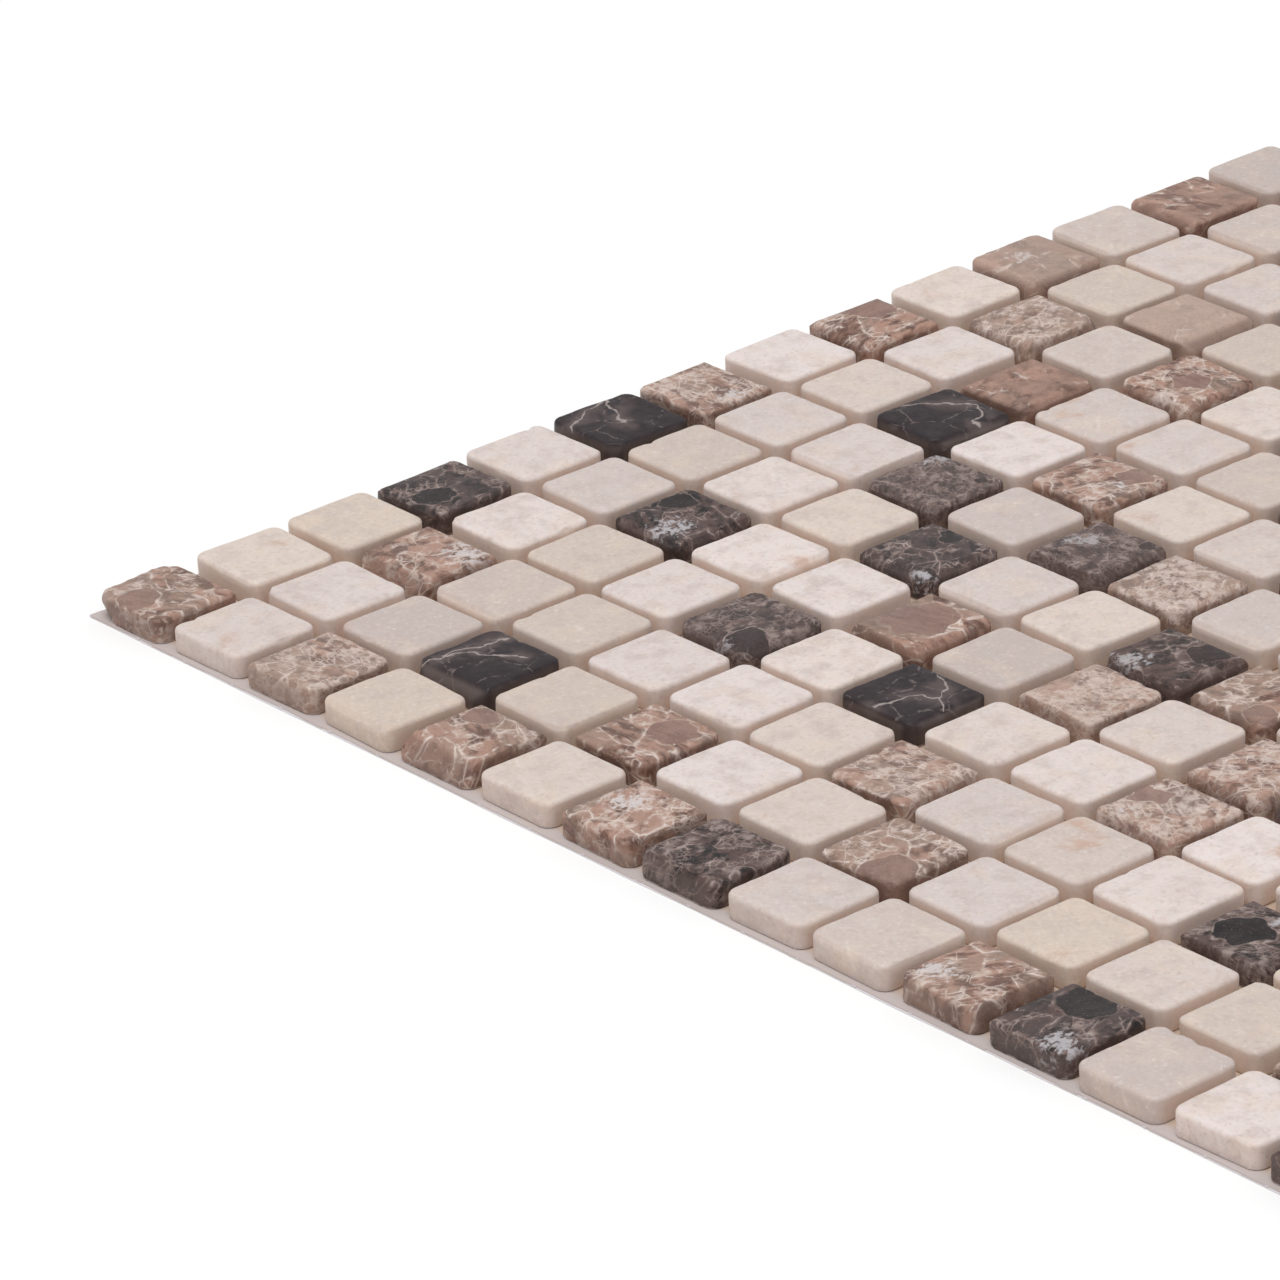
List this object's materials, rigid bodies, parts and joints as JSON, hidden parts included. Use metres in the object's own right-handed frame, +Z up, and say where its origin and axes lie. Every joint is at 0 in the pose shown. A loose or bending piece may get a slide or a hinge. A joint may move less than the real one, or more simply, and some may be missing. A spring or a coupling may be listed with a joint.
{
  "type": "mosaic tile sheet",
  "caption": "Square sheet of small tumbled marble chips in four shades, set in rows with open joints on a glass-fibre mesh, for facing walls and floors.",
  "frame": {"origin": "middle of the sheet, on the plane that the mesh backing rests on", "axes": "+Z up, out of the chips' face; +X along the rows of chips; +Y along the columns, towards row 0"},
  "size_m": [0.305, 0.305, 0.0044],
  "materials": {
    "glass_fibre_mesh": "matt white laid glass yarns",
    "cream_marble": "tumbled, satin",
    "light_brown_marble": "tumbled, satin, veined",
    "dark_brown_marble": "tumbled, satin, veined",
    "black_marble": "tumbled, satin, thinly veined"
  },
  "bodies": {
    "root": {"mesh_warp_yarns": "glass_fibre_mesh", "mesh_weft_yarns": "glass_fibre_mesh", "cream_chips": "cream_marble", "light_brown_chips": "light_brown_marble", "dark_brown_chips": "dark_brown_marble", "black_chips": "black_marble"}
  },
  "joints": []
}
